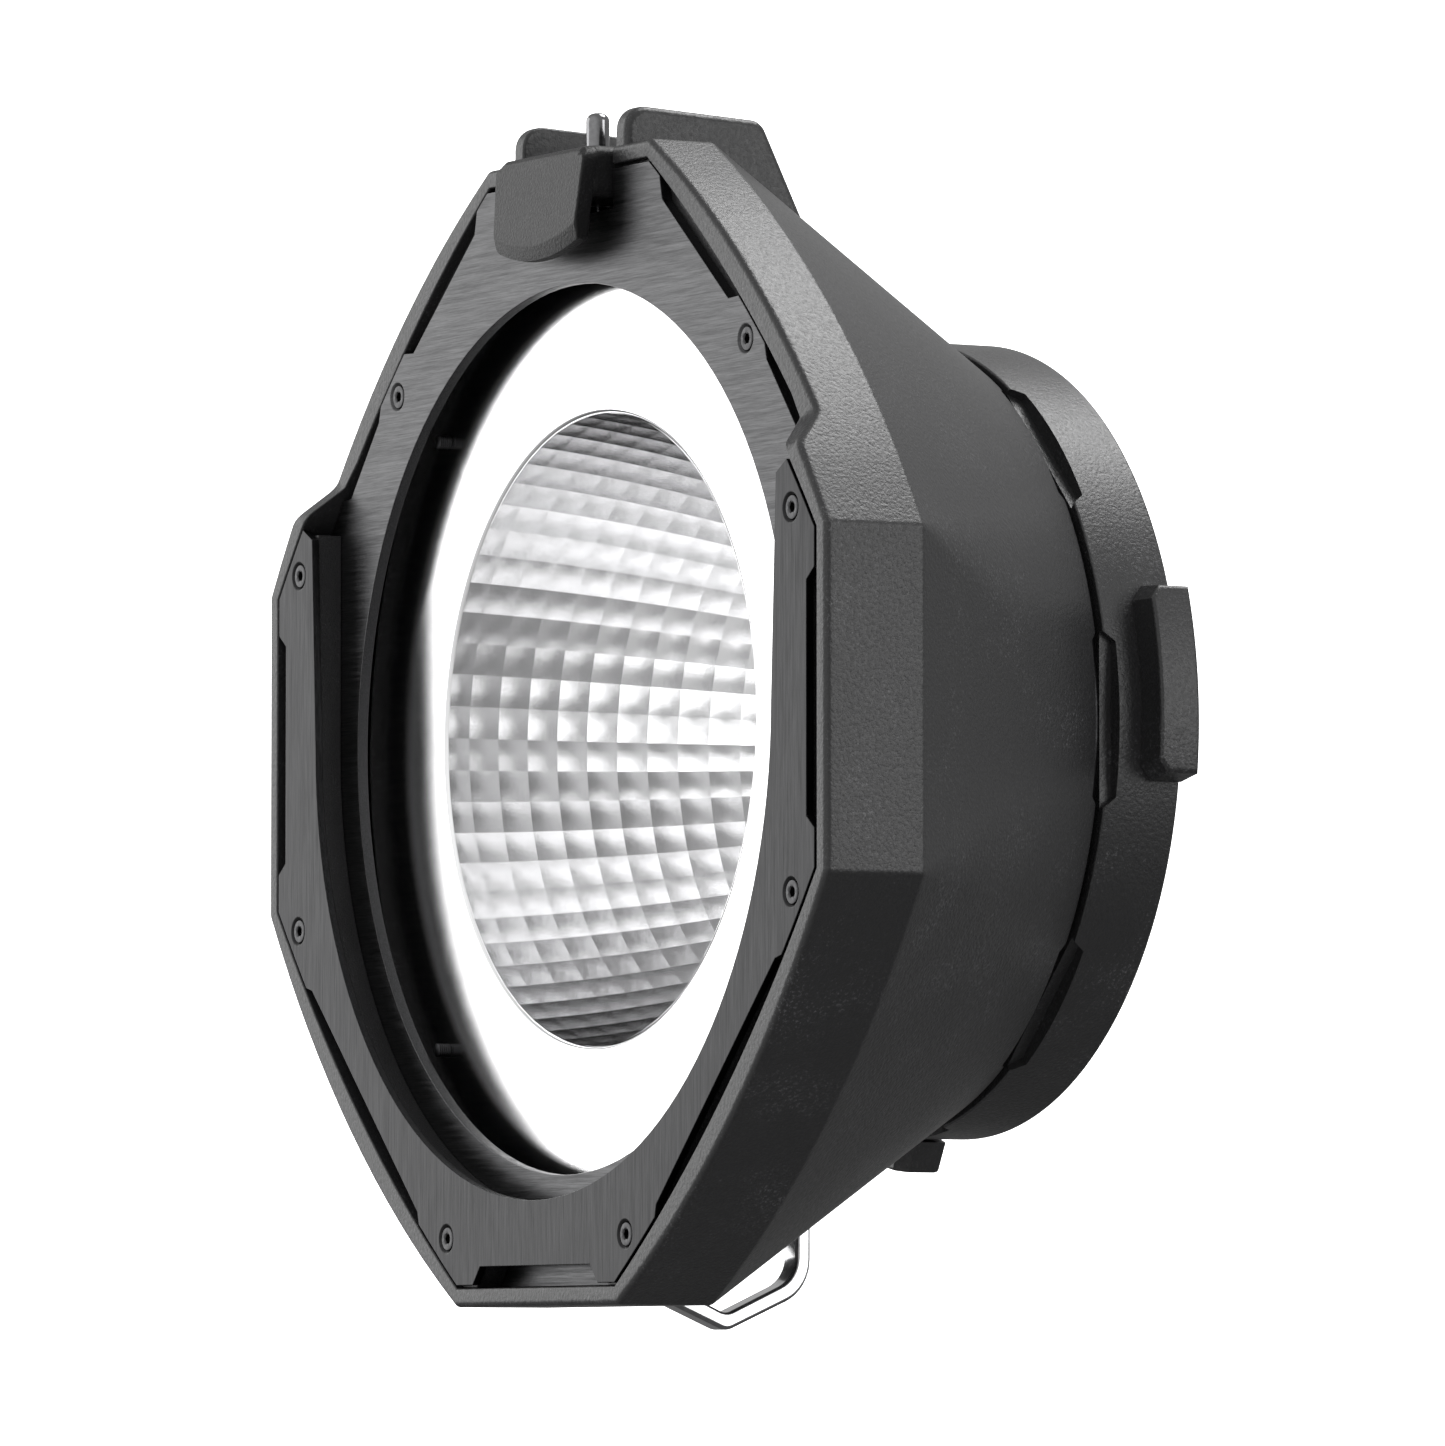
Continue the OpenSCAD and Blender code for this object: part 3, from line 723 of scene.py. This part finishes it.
def housing():
    """The shell as one moulding: body, latch channel, guard fins, windows and eyelet slot."""
    above, ahead = 140, -2
    shell = loft("housing", rim_rings() + body_rings() + inside_rings(), cyclic=True)
    add(shell, channel_walls())
    cut(shell, block("channel_cut", (-FIN_IN, FIN_IN), (ahead, CHANNEL_END),
                     (CHANNEL_FLOOR, above)))
    add(shell, fin(1))
    add(shell, fin(-1))
    cut(shell, rod_x("hinge_hole", HINGE_HOLE_R, -30, -19, HINGE))
    cut(shell, rod_z("plunger_hole", PLUNGER_HOLE_R, 104, 109, PLUNGER_D))
    cut(shell, window_tools(SHELL_END - WINDOW_DEEP, SHELL_END + 0.7, 79))
    cut(shell, block("eyelet_slot", (-3.1, 3.1), (24, 67), (-130, -80)))
    tidy(shell, 0.004)
    shade(shell, 24)
    return finish_piece(shell, "housing", "housing", HOUSING_MAT, "housing_shell")


# ---- reflector --------------------------------------------------------------------

def bowl_r(depth):
    """Inner radius of the bowl, which draws in faster towards the back."""
    back = depth - MIRROR_D
    return THROAT_R - 0.1 * back - 0.0015 * back ** 2


def facet_rows():
    """Depths at which the rows of facets meet."""
    rows = [MIRROR_D + 0.5]
    row, shortest = 20.3, 3
    while row < BOWL_END - shortest:
        rows.append(row)
        row += FACET_ROW
    return rows + [BOWL_END]


def facet_ring(low, high, share):
    """A ring across one row of facets, each of which is a shallow pillow."""
    half = math.pi / FACETS
    count = FACETS * FACET_SPLIT
    v = 2 * share - 1
    depth = low + (high - low) * share
    straight = bowl_r(low) + (bowl_r(high) - bowl_r(low)) * share
    ring = []
    for k in range(count):
        u = 2 * (k % FACET_SPLIT) / FACET_SPLIT - 1
        r = straight * math.cos(half) / math.cos(half * u)
        r -= FACET_BULGE * (1 - u * u) * (1 - v * v)
        angle = FACET_START + 2 * math.pi * k / count
        ring.append((r * math.cos(angle), depth, r * math.sin(angle)))
    return ring


def facet_rings():
    """The bowl's facets from front to back."""
    rows = facet_rows()
    rings = [facet_ring(low, high, step / FACET_SPLIT)
             for low, high in zip(rows, rows[1:]) for step in range(FACET_SPLIT)]
    return rings + [facet_ring(rows[-2], rows[-1], 1)]


def skin_rings():
    """The bowl's plain skin from back to front, and its rim behind the flange."""
    rim_r, rim_d = 100, 16.5
    profile = [(bowl_r(BOWL_END) + BOWL_WALL, BOWL_END)]
    profile += [(bowl_r(d) + BOWL_WALL, d) for d in range(100, SHELF_D, -9)]
    profile += [(bowl_r(SHELF_D) + BOWL_WALL, SHELF_D), (rim_r, SHELF_D), (rim_r, rim_d),
                (THROAT_R - 0.02, rim_d)]
    count = FACETS * FACET_SPLIT
    turns = [FACET_START + 2 * math.pi * k / count for k in range(count)]
    return [[(r * math.cos(t), d, r * math.sin(t)) for t in turns] for r, d in profile]


def sharpen_facets(bowl, rows_of_points):
    """Marks the facets' borders and the skin's corners as sharp."""
    for edge in bowl.data.edges:
        (row_a, k_a), (row_b, k_b) = (divmod(i, FACETS * FACET_SPLIT) for i in edge.vertices)
        along_row = row_a == row_b and row_a % FACET_SPLIT == 0
        across_row = k_a == k_b and k_a % FACET_SPLIT == 0
        on_facets = max(row_a, row_b) < rows_of_points
        on_skin = row_a == row_b and row_a >= rows_of_points - 1
        edge.use_edge_sharp = (along_row or across_row) and on_facets or on_skin


def reflector_bowl():
    """Sixty facets round, with a plain skin behind."""
    facets = facet_rings()
    rings = facets + skin_rings()
    points = [p for ring in rings for p in ring]
    bowl = mesh_object("reflector_bowl_facets", points,
                       side_faces(len(rings[0]), len(rings), True))
    bowl.data.shade_smooth()
    sharpen_facets(bowl, len(facets))
    return finish_piece(bowl, "housing", "mirror", BOWL_MAT, "reflector_bowl")


def reflector_flange():
    """Flat polished ring with a rolled edge at the throat."""
    roll, rear, outer = 1.45, MIRROR_D + 1.5, 104
    profile = arc((THROAT_R + roll, MIRROR_D + roll), roll, 180, 270, 6)
    profile += [(THROAT_R + 2.2, MIRROR_D), (outer - 0.8, MIRROR_D), (outer, MIRROR_D + 0.3),
                (outer, rear), (THROAT_R + 0.02, rear)]
    flange = lathe("reflector_flange_ring", profile, 240, cyclic=True)
    for at in REFLECTOR_SCREWS:
        cut(flange, rod_y("screw_hole", 1.58, 10, 20, at, 24))
    tidy(flange)
    shade(flange)
    return finish_piece(flange, "housing", "mirror", MIRROR_MAT, "reflector_flange")


def threaded(radius, d0, d1, at, pitch=0.5):
    """Rings of a screw's shank with thread ridges."""
    count, end_taper, groove = 24, 0.45, 0.27
    rings = [circle(radius - end_taper, d0, count, at)]
    depth = d0 + pitch / 2
    while depth < d1 - pitch:
        rings.append(circle(radius, depth, count, at))
        rings.append(circle(radius - groove, depth + pitch / 2, count, at))
        depth += pitch
    rings.append(circle(radius, d1, count, at))
    return rings


def reflector_screws():
    """Screws that come through the flange from behind and show their threaded ends."""
    head = 21
    screws = []
    for at in REFLECTOR_SCREWS:
        rings = threaded(1.5, MIRROR_D - 3, head, at)
        rings += [circle(r, d, 24, at)
                  for r, d in ((2.8, head), (2.8, head + 1.7), (2.1, head + 2.4))]
        screws.append(loft("screw", rings))
    whole = joined(screws)
    whole.name = "reflector_screw_set"
    shade(whole, 40, False)
    return finish_piece(whole, "housing", "steel", DARK_STEEL_MAT, "reflector_screws")


# ---- plates and their screws ------------------------------------------------------

def hexagon(radius, depth, count, at):
    """Ring of a hexagon with its points spread evenly by angle."""
    ring = []
    for k in range(count):
        t = 2 * math.pi * k / count
        r = radius * math.cos(math.pi / 6) / math.cos((t % (math.pi / 3)) - math.pi / 6)
        ring.append((at[0] + r * math.cos(t), depth, at[1] + r * math.sin(t)))
    return ring


def socket_screw(at, face, length):
    """Countersunk socket screw whose head lies in a face."""
    count, head, shank, socket, socket_end = 48, 2.5, 1.45, 1.15, 1.35
    rings = [hexagon(socket * 0.96, face + socket_end, count, at),
             hexagon(socket, face + 0.42, count, at)]
    levels = [(socket * 1.16, 0.22), (head - 0.3, 0.2), (head - 0.1, 0.26), (head, 0.4),
              (head, 0.6), (shank, 1.9), (shank, length)]
    rings += [circle(r, face + d, count, at) for r, d in levels]
    return loft("socket_screw", rings)


def screw_set(name, places, face, length, node):
    """Black screws in one face, as one piece."""
    screws = joined([socket_screw(at, face, length) for at in places])
    screws.name = name
    shade(screws, 32)
    return finish_piece(screws, "housing", "black_screw", SCREW_MAT, node)


def plates():
    """The slot's two plates, the spacer between them and the screws."""
    sheets = [("front_plate", "front_plate_sheet", 0.22, "plate", FRONT_MAT),
              ("back_plate", "back_plate_sheet", 0.25, "plate", BACK_MAT),
              ("slot_spacer", "slot_spacer_frame", 0.25, "spacer", SPACER_MAT)]
    for node, name, width, slot, material in sheets:
        finish_piece(rounded_copy(node, name, width, 2), "housing", slot, material, node)
    screw_set("front_screw_set", FRONT_SCREWS, 0, 16, "front_plate_screws")
    screw_set("back_screw_set", BACK_SCREWS, RIM_D, 8, "back_plate_screws")


# ---- latch ------------------------------------------------------------------------

def paddle():
    """The latch's finger paddle: a tilted plate whose foot is cut back along an arc."""
    thick, lean, pivot = 3.7, math.radians(5.5), 111
    arc_r, arc_z = 51, 150.5
    foot, shoulder, top, lip = 17.8, 19.7, 122.8, 3.2
    edge_low, edge_high, edge_z = 0.6, 2.8, 119.8

    def foot_line(x, radius=arc_r):
        """Height of the foot's arc, or of a smaller one, at a place across."""
        return arc_z - math.sqrt(radius ** 2 - x * x)
    side_z = foot_line(foot, arc_r - lip) + 0.3
    side = foot + (shoulder - foot) * (side_z - foot_line(foot)) / (top - foot_line(foot))
    across = [foot * (1 - 2 * k / 20) for k in range(1, 20)]
    corners = [(-side, side_z, 0), (-shoulder, top, 3), (shoulder, top, 3), (side, side_z, 0),
               (foot, foot_line(foot), 1.4)]
    corners += [(x, foot_line(x), 0) for x in across] + [(-foot, foot_line(foot), 1.4)]
    outline = rounded(corners, 6)
    in_lip = [z < foot_line(x, arc_r - lip) for x, z in outline]
    edge = [edge_low + (edge_high - edge_low) * min(max((z - edge_z) / 2, 0), 1)
            for _, z in outline]

    def level(depths, amount, shares, radius):
        """Ring of the tilted plate; the foot doesn't reach below its arc."""
        ring = []
        for (x, z), low, d in zip(inset(outline, amount, shares), in_lip, depths):
            z = max(z, foot_line(x, radius)) if low else z
            ring.append((x, d * math.cos(lean) + (z - pivot) * math.sin(lean),
                         pivot + (z - pivot) * math.cos(lean) - d * math.sin(lean)))
        return ring
    rings = []
    for turn, lip_depth, cut_back in ((0, 0, lip), (0.5, 0.1, lip - 0.5), (1, 1.0, 0.6),
                                      (math.pi / 2, 1.3, 0)):
        depths = [lip_depth if low else r * (1 - math.cos(turn))
                  for low, r in zip(in_lip, edge)]
        rings.append(level(depths, 1 - math.sin(turn), edge, arc_r - cut_back))
    for depth, gap in ((thick - 0.5, 0), (thick - 0.12, 0.15), (thick, 0.5)):
        rings.append(level([depth] * len(outline), gap, None, arc_r))
    return loft("paddle", rings)


def latch_arm():
    """The sprung arm between the fins, round at its hinge, with the paddle in front."""
    low, top, front = 110.5, 122.6, 2
    half, side_round = 19, 2.6
    outline = rounded([(front, low, 2.7), (front, top, 3.4), (HINGE[0], top, 0)], 6)
    middle = (HINGE[0], (low + top) / 2)
    outline += arc(middle, (top - low) / 2, 84, -90, 16)
    levels = pillow(outline, -half, half, side_round, side_round, 6)
    arm = loft("latch_arm_body", [[(x, d, z) for d, z in points] for x, points in levels])
    add(arm, paddle())
    cut(arm, block("spring_notch", (-6.5, 6.5), (33, 50), (105, 130)))
    cut(arm, rod_z("pin_hole", 2.56, 100, 130, PLUNGER_D))
    cut(arm, rod_z("spring_pocket", 4.6, 100, 119, PLUNGER_D))
    cut(arm, rod_x("hinge_bore", 2.06, -30, 30, HINGE))
    tidy(arm, 0.004)
    shade(arm, 26)
    return finish_piece(arm, "latch", "housing", LATCH_MAT, "latch_arm")


def upright_lathe(name, profile, depth, count=48):
    """Turns a profile of (radius, height) points round a vertical axis."""
    return loft(name, [[(p[0], depth + p[2], z) for p in circle(r, 0, count)]
                       for r, z in profile])


def plunger_pin():
    """Round-nosed pin with a groove for its clip."""
    low, top = 107.1, 131.7
    crown = arc((0.7, top - 1.85), 1.8, 0, 80, 9)
    profile = [(0.4, low), (1.7, low), (2.3, low + 0.6), (2.5, low + 1.1), (2.5, 111.35),
               (2.45, 111.4), (1.9, 111.4), (1.9, 112.2), (2.45, 112.2), (2.5, 112.25),
               (2.5, top - 2.2)] + crown + [(0.6, top - 0.04), (0.3, top)]
    pin = upright_lathe("plunger_pin_turned", profile, PLUNGER_D)
    shade(pin, 30)
    return finish_piece(pin, "plunger", "polished_steel", PIN_MAT, "plunger_pin")


def hinge_pin():
    """Plain pin through the fins and the arm, its ends chamfered."""
    x0, x1 = -FIN_OUT, 23.2
    profile = [(0.8, x0), (1.7, x0), (1.98, x0 + 0.25), (1.98, x1 - 0.3), (1.7, x1), (0.8, x1)]
    rings = [[(x, HINGE[0] + p[0], HINGE[1] + p[2]) for p in circle(r, 0, 40)]
             for r, x in profile]
    pin = loft("latch_hinge_pin_turned", rings)
    shade(pin, 30)
    return finish_piece(pin, "housing", "polished_steel", PIN_MAT, "latch_hinge_pin")


# ---- lock ring --------------------------------------------------------------------

def grip(angle):
    """A finger grip that stands out from the lock ring."""
    half, shoulder_width, front, shoulder, rear = 19.9, 3, 97.7, 100, 107.4
    base, edge = RING_R - 1.5, 0.9
    flat = half - shoulder_width
    right = [flat, half - 2, half - 1, half]
    spans = [-s for s in reversed(right)]
    spans += [-flat + 2 * flat * k / 16 for k in range(1, 16)] + right

    def front_at(s):
        """Depth of the grip's front edge, which slopes back at its ends."""
        return max(front, front + (shoulder - front) * (abs(s) - flat) / shoulder_width)
    outline = [(s, front_at(s)) for s in spans] + [(s, rear) for s in reversed(spans)]
    turn = math.radians(angle)

    def level(rise, gap, draft):
        """Ring of the grip: rise 0 to 1 goes up its side, and 1 to 2 round its edge."""
        ring = []
        for s, d in inset(outline, gap):
            s *= 1 + draft
            top = math.sqrt(GRIP_R ** 2 - s * s)
            r = base + (top - base - edge) * rise if rise <= 1 else top - edge * (2 - rise)
            ring.append((r * math.cos(turn) - s * math.sin(turn), d,
                         r * math.sin(turn) + s * math.cos(turn)))
        return ring
    rings = [level(0, 0, 0.04), level(0.6, 0, 0.015), level(1, 0, 0)]
    rings += [level(1 + math.sin(t), edge * (1 - math.cos(t)), 0) for t in quarter_turns(4)[1:]]
    points = [p for ring in rings for p in ring]
    size = len(outline)
    faces = side_faces(size, len(rings))
    for first in (0, size * (len(rings) - 1)):
        last = first + size - 1
        faces += [(first + j, first + j + 1, last - j - 1, last - j)
                  for j in range(len(spans) - 1)]
    piece = mesh_object("grip", points, faces)
    tidy(piece)
    return piece


def lock_ring():
    """The turned ring with its three finger grips and its side of the windows."""
    neck_bore, neck_end = 78.45, 93
    bore, bore_end, recess = 81, 103.5, 84.6
    front_edge = arc((RING_R - 0.5, RING_FRONT + 0.5), 0.5, 270, 360, 4)
    rear_edge = arc((RING_R - 0.9, RING_REAR - 0.9), 0.9, 0, 90, 5)
    profile = [(neck_bore, RING_FRONT), *front_edge, *rear_edge, (recess, RING_REAR),
               (recess, bore_end), (bore, bore_end), (bore, neck_end), (neck_bore, neck_end)]
    ring = lathe("lock_ring_body", profile, 240, cyclic=True)
    for angle in GRIP_ANGLES:
        add(ring, grip(angle))
    cut(ring, window_tools(92.4, RING_FRONT - 0.7, REAR_BORE))
    tidy(ring, 0.004)
    shade(ring, 30)
    return finish_piece(ring, "ring", "housing", HOUSING_MAT, "lock_ring")


# ---- safety eyelet and small parts --------------------------------------------------

def safety_eyelet():
    """Polished eye for a safety cable, its edges well rounded inside and out."""
    half, soft = 3, 0.9
    window = rounded(EYE_WINDOW, 8)
    levels = pillow(rounded(EYE_OUTLINE, 8), -half, half, soft, soft, 5)
    eye = loft("safety_eyelet_plate", [[(x, d, z) for d, z in points] for x, points in levels])
    flare = []
    for turn in quarter_turns(5):
        x = half - soft * (1 - math.cos(turn)) + 0.01
        flare.append((x, inset(window, soft * math.sin(turn) - soft)))
    levels = [(-x, points) for x, points in flare] + flare[::-1]
    cut(eye, loft("eye_window", [[(x, d, z) for d, z in points] for x, points in levels]))
    for at in EYE_SCREWS:
        cut(eye, rod_x("screw_hole", 1.6, -5, 5, at, 24))
    tidy(eye)
    shade(eye)
    return finish_piece(eye, "housing", "polished_steel", POLISHED_MAT, "safety_eyelet")


def small_parts():
    """Parts at the back that keep the CAD shape, with their edges rounded."""
    parts = [("rear_flange", "rear_flange_turned", 0.3, "housing", "anodised", ANODISED_MAT),
             ("bayonet_ring", "bayonet_ring_turned", 0.3, "ring", "bayonet", BAYONET_MAT),
             ("bayonet_screws", "bayonet_screw_set", 0.2, "ring", "steel", STEEL_MAT)]
    for node, name, width, body, slot, material in parts:
        finish_piece(rounded_copy(node, name, width), body, slot, material, node)


def finish_cad_nodes():
    """Finishes for the CAD nodes that stay as they are."""
    kept = {"ring_retainer": ANODISED_MAT, "eyelet_screws": STEEL_MAT,
            "rear_flange_screws": STEEL_MAT, "retainer_screws": STEEL_MAT,
            "wave_washer": DARK_STEEL_MAT, "latch_spring": STEEL_MAT,
            "plunger_spring": STEEL_MAT, "plunger_clip": STEEL_MAT}
    for node, material in kept.items():
        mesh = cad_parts[node].data
        mesh.materials.clear()
        mesh.materials.append(material)


# ---- stage, lights and camera, in metres ----------------------------------------------

VIEW_FROM = Vector((2.0396, -1.2134, -0.1428))
VIEW_ALONG = Vector((-0.8669, 0.4947, 0.0617))
LENS = 273.9
FLOOR_Z = -0.32
FLOOR_REACH = 2.2
BACKDROP_BEHIND = 1.3                   # how far the backdrop stands behind the object
BACKDROP_REACH = 0.262
MIDDLE = (0, -0.04, 0)
SOFT_BOXES = [                          # name, place, aim, size and brightness
    ("overhead", (0.02, 0.52, 1.15), MIDDLE, (0.75, 0.6), 8),
    ("front_left", (-1.35, -0.85, 0.25), MIDDLE, (1.3, 1.4), 1.7),
    ("rear_glow", (0, 0.022, 0), (0, -1, 0), (0.13, 0.13), 0.5),
    ("side_fill", (1.5, 0.8, 0.25), MIDDLE, (0.7, 0.9), 3.2)]


def soft_box(name, at, towards, size, brightness):
    """An area light that faces a point and that the camera doesn't see."""
    light = bpy.data.lights.new(name, "AREA")
    light.shape = "RECTANGLE"
    light.size, light.size_y = size
    light.energy = brightness * size[0] * size[1] * math.pi
    obj = bpy.data.objects.new(name, light)
    obj.location = at
    obj.rotation_euler = (Vector(towards) - Vector(at)).to_track_quat("-Z", "Y").to_euler()
    obj.visible_camera = False
    bpy.context.scene.collection.objects.link(obj)


def plane(name, centre, right, up, colour, emission):
    """A matt stage plane that the object's reflections leave out."""
    corners = [centre - right - up, centre + right - up, centre + right + up,
               centre - right + up]
    obj = linked_object(name, corners, [(0, 1, 2, 3)])
    material = bpy.data.materials.new(name + "_paint")
    material.use_nodes = True
    surface = material.node_tree.nodes["Principled BSDF"]
    surface.inputs["Base Color"].default_value = (colour, colour, colour, 1)
    surface.inputs["Roughness"].default_value = 0.9
    surface.inputs["Emission Color"].default_value = (1, 1, 1, 1)
    surface.inputs["Emission Strength"].default_value = emission
    obj.data.materials.append(material)
    obj.visible_glossy = False
    return obj


def camera():
    """A long lens from the right, low and in front."""
    made = bpy.data.cameras.new("camera")
    made.lens = LENS
    made.sensor_width = 36
    made.clip_end = 50
    obj = bpy.data.objects.new("camera", made)
    obj.location = VIEW_FROM
    obj.rotation_euler = VIEW_ALONG.to_track_quat("-Z", "Y").to_euler()
    bpy.context.scene.collection.objects.link(obj)
    bpy.context.scene.camera = obj


def sky():
    """An even grey sky, dark low down and lighter in front of the object."""
    world = bpy.data.worlds.new("studio")
    world.use_nodes = True
    tree = world.node_tree
    background = tree.nodes["Background"]
    background.inputs["Color"].default_value = (1, 1, 1, 1)
    direction = tree.nodes.new("ShaderNodeTexCoord").outputs["Generated"]
    split = tree.nodes.new("ShaderNodeSeparateXYZ")
    total = tree.nodes.new("ShaderNodeMath")
    tree.links.new(direction, split.inputs["Vector"])
    by_height = map_range(tree, split.outputs["Z"], -0.5, 0.2, 0.10, 0.50)
    by_front = map_range(tree, split.outputs["Y"], -0.2, -0.8, 0, 0.45)
    tree.links.new(by_height, total.inputs[0])
    tree.links.new(by_front, total.inputs[1])
    tree.links.new(total.outputs["Value"], background.inputs["Strength"])
    bpy.context.scene.world = world


def stage():
    """Pale floor, white backdrop square to the view, sky and soft boxes."""
    bpy.context.scene.view_settings.view_transform = "Standard"
    sky()
    plane("floor", Vector((0, 0, FLOOR_Z)), Vector((FLOOR_REACH, 0, 0)),
          Vector((0, FLOOR_REACH, 0)), 0.72, 0)
    forward = VIEW_ALONG.normalized()
    right = forward.cross(Vector((0, 0, 1))).normalized()
    up = right.cross(forward)
    centre = VIEW_FROM + forward * (VIEW_FROM.length + BACKDROP_BEHIND)
    backdrop = plane("backdrop", centre, right * BACKDROP_REACH, up * BACKDROP_REACH, 1, 1.4)
    backdrop.visible_diffuse = False
    for name, at, towards, size, brightness in SOFT_BOXES:
        soft_box(name, at, towards, size, brightness)


housing()
reflector_bowl()
reflector_flange()
reflector_screws()
plates()
latch_arm()
plunger_pin()
hinge_pin()
lock_ring()
safety_eyelet()
small_parts()
finish_cad_nodes()
camera()
stage()
